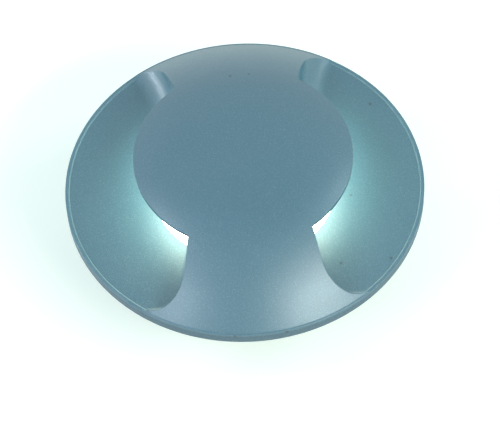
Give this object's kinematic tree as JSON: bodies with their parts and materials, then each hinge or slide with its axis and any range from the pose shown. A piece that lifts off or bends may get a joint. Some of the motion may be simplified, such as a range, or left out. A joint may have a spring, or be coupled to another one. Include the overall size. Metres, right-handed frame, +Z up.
{
  "type": "recessed floor light",
  "caption": "Round walk-over floor light: domed cast cover with scooped side windows that throw light sideways, on a ribbed housing held by spring clips in a recess sleeve",
  "frame": {"origin": "centre of the recess sleeve's flat underside, the lowest face of the part", "axes": "+Z up out of the floor, the two light windows face +X and -X, the plain lobes face -Y (front) and +Y (back)"},
  "size_m": [0.15, 0.15, 0.0775],
  "materials": {
    "silver_powder_coat": "fine silver-blue metallic powder coat, satin",
    "cast_aluminium": "plain die-cast or spun aluminium",
    "stainless_steel": "plain stainless steel",
    "nickel_plated_brass": "nickel-plated brass",
    "opal_plastic": "opal white, lit from inside",
    "led_phosphor": "yellow phosphor layer, lit",
    "board_white": "white solder mask on a metal-core board",
    "seal_rubber": "matt black rubber",
    "sleeve_plastic": "dark grey moulded plastic",
    "black_plastic": "black moulded plastic",
    "white_plastic": "white moulded plastic",
    "red_insulation": "red lead insulation",
    "black_insulation": "black lead insulation",
    "brown_insulation": "brown lead insulation",
    "blue_insulation": "blue lead insulation",
    "green_insulation": "green earth lead insulation"
  },
  "bodies": {
    "sleeve": {"recess_sleeve": "sleeve_plastic", "sleeve_floor": "sleeve_plastic"},
    "light_unit": {"board_screw_back": "stainless_steel", "board_screw_front": "stainless_steel", "clip_bracket_left": "stainless_steel", "clip_bracket_right": "stainless_steel", "clip_pin_left": "stainless_steel", "clip_pin_right": "stainless_steel", "clip_rivet_left_back": "stainless_steel", "clip_rivet_left_front": "stainless_steel", "clip_rivet_right_back": "stainless_steel", "clip_rivet_right_front": "stainless_steel", "clip_spring_left": "stainless_steel", "clip_spring_right": "stainless_steel", "cover": "silver_powder_coat", "cover_screw_1": "stainless_steel", "cover_screw_2": "stainless_steel", "cover_screw_3": "stainless_steel", "cover_screw_4": "stainless_steel", "diffuser": "opal_plastic", "diffuser_seal": "seal_rubber", "driver_case": "black_plastic", "driver_lid": "white_plastic", "driver_screw_1": "stainless_steel", "driver_screw_2": "stainless_steel", "earth_lead": "green_insulation", "earth_screw": "nickel_plated_brass", "gland_body": "nickel_plated_brass", "gland_grommet": "seal_rubber", "gland_locknut": "nickel_plated_brass", "gland_washer": "seal_rubber", "heat_spreader": "cast_aluminium", "housing": "cast_aluminium", "led_board": "board_white", "led_lead_negative": "black_insulation", "led_lead_positive": "red_insulation", "led_strip_left": "led_phosphor", "led_strip_right": "led_phosphor", "mains_lead_live": "brown_insulation", "mains_lead_neutral": "blue_insulation", "reflector_screw": "stainless_steel", "side_reflector": "cast_aluminium", "terminal_block": "white_plastic"},
    "clip_left": {"clip_arm_left": "stainless_steel"},
    "clip_right": {"clip_arm_right": "stainless_steel"},
    "nut": {"gland_nut": "nickel_plated_brass"}
  },
  "joints": [
    {"name": "unit_lift", "type": "slide", "parent": "sleeve", "child": "light_unit", "axis": [0, 0, 1], "range_m": [0, 0.045]},
    {"name": "clip_left_swing", "type": "hinge", "parent": "light_unit", "child": "clip_left", "pos_m": [-0.0368, 0, 0.023], "axis": [0, 1, 0], "range_deg": [0, 14], "stiffness_Nm_per_rad": 0.02, "springref_deg": -17.19, "deforming": ["clip_spring_left"]},
    {"name": "clip_right_swing", "type": "hinge", "parent": "light_unit", "child": "clip_right", "pos_m": [0.0368, 0, 0.023], "axis": [0, -1, 0], "range_deg": [0, 14], "stiffness_Nm_per_rad": 0.02, "springref_deg": -17.19, "deforming": ["clip_spring_right"]},
    {"name": "gland_nut_turn", "type": "hinge", "parent": "light_unit", "child": "nut", "pos_m": [0, 0.0165, 0.0102], "axis": [0, 0, -1], "range_deg": [0, 90]}
  ]
}
